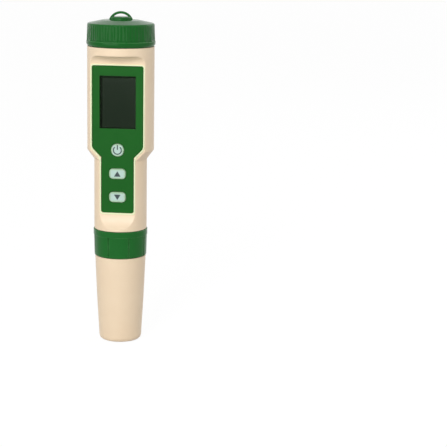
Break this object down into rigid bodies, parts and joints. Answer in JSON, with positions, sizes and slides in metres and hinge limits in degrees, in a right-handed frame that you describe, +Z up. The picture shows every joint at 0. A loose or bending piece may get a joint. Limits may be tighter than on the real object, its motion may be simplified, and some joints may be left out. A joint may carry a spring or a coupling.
{
  "type": "conductivity pen meter",
  "caption": "Pocket water tester shaped like a thick pen: flat front with display and keys, screw battery cap with lanyard loop, lock ring and push-on cover over the probe.",
  "frame": {"origin": "centre of the flat bottom of the protective cover, where the pen stands", "axes": "+Z up along the pen to the lanyard loop, -Y out of the display, +X to the right as seen from the front"},
  "size_m": [0.038, 0.038, 0.1849],
  "materials": {
    "cream_plastic": "satin moulded ABS",
    "green_plastic": "satin moulded ABS",
    "panel_green": "fine matt front panel",
    "clear_window": "clear display window",
    "display_glass": "unpowered liquid crystal display",
    "black_plastic": "black moulded plastic",
    "zebra_rubber": "layered conducting elastomer",
    "board": "green solder mask",
    "key_white": "pale moulded key",
    "switch_metal": "stamped steel and black plastic",
    "seal_rubber": "black sealing ring",
    "cell_steel": "plated steel can",
    "contact_brass": "plated brass contact",
    "contact_steel": "folded leaf of spring steel",
    "grey_plastic": "dark grey probe moulding",
    "sensor_glass": "thin blown glass",
    "silver_wire": "coated silver wire",
    "sensor_steel": "stainless sensor tube",
    "electrode_metal": "titanium pins",
    "ceramic_white": "porous ceramic plug",
    "sponge_foam": "soft open foam"
  },
  "bodies": {
    "cover": {"protective_cover": "cream_plastic", "storage_sponge": "sponge_foam"},
    "probe": {"probe_body": "grey_plastic", "cover_seal_ring": "seal_rubber", "plug_seal_ring": "seal_rubber", "plug_pins": "contact_brass", "glass_electrode": "sensor_glass", "bulb_wire": "silver_wire", "conductivity_pins": "electrode_metal", "temperature_sensor": "sensor_steel", "reference_junction": "ceramic_white"},
    "lock_ring": {"lock_ring": "green_plastic"},
    "housing": {"main_housing": "cream_plastic", "front_panel": "panel_green", "display_window": "clear_window", "lcd_glass": "display_glass", "lcd_frame": "black_plastic", "zebra_strip": "zebra_rubber", "circuit_board": "board", "key_switches": "switch_metal", "controller_chip": "black_plastic", "board_parts": "black_plastic", "battery_holder": "black_plastic", "button_cells": "cell_steel", "leaf_contact": "contact_steel", "neck_seal_ring": "seal_rubber", "probe_socket": "black_plastic"},
    "power_key": {"power_key": "key_white"},
    "up_key": {"up_key": "key_white"},
    "down_key": {"down_key": "key_white"},
    "cap_contact": {"contact_plate": "contact_brass"},
    "battery_cap": {"battery_cap": "green_plastic"}
  },
  "joints": [
    {"name": "cover_pull", "type": "slide", "parent": "cover", "child": "probe", "axis": [0, 0, 1], "range_m": [0, 0.05]},
    {"name": "probe_unplug", "type": "slide", "parent": "probe", "child": "housing", "axis": [0, 0, 1], "range_m": [0, 0.016]},
    {"name": "lock_ring_turn", "type": "hinge", "parent": "probe", "child": "lock_ring", "pos_m": [0, 0, 0.0567], "axis": [0, 0, 1], "range_deg": [-540, 0]},
    {"name": "power_key_press", "type": "slide", "parent": "housing", "child": "power_key", "axis": [0, 1, 0], "range_m": [0, 0.0005], "stiffness_N_per_m": 800, "springref_m": -0.0008},
    {"name": "up_key_press", "type": "slide", "parent": "housing", "child": "up_key", "axis": [0, 1, 0], "range_m": [0, 0.0005], "stiffness_N_per_m": 800, "springref_m": -0.0008},
    {"name": "down_key_press", "type": "slide", "parent": "housing", "child": "down_key", "axis": [0, 1, 0], "range_m": [0, 0.0005], "stiffness_N_per_m": 800, "springref_m": -0.0008},
    {"name": "cap_lift", "type": "slide", "parent": "housing", "child": "cap_contact", "axis": [0, 0, 1], "range_m": [0, 0.02]},
    {"name": "cap_turn", "type": "hinge", "parent": "cap_contact", "child": "battery_cap", "pos_m": [0, 0, 0.1725], "axis": [0, 0, 1], "range_deg": [0, 720]}
  ]
}
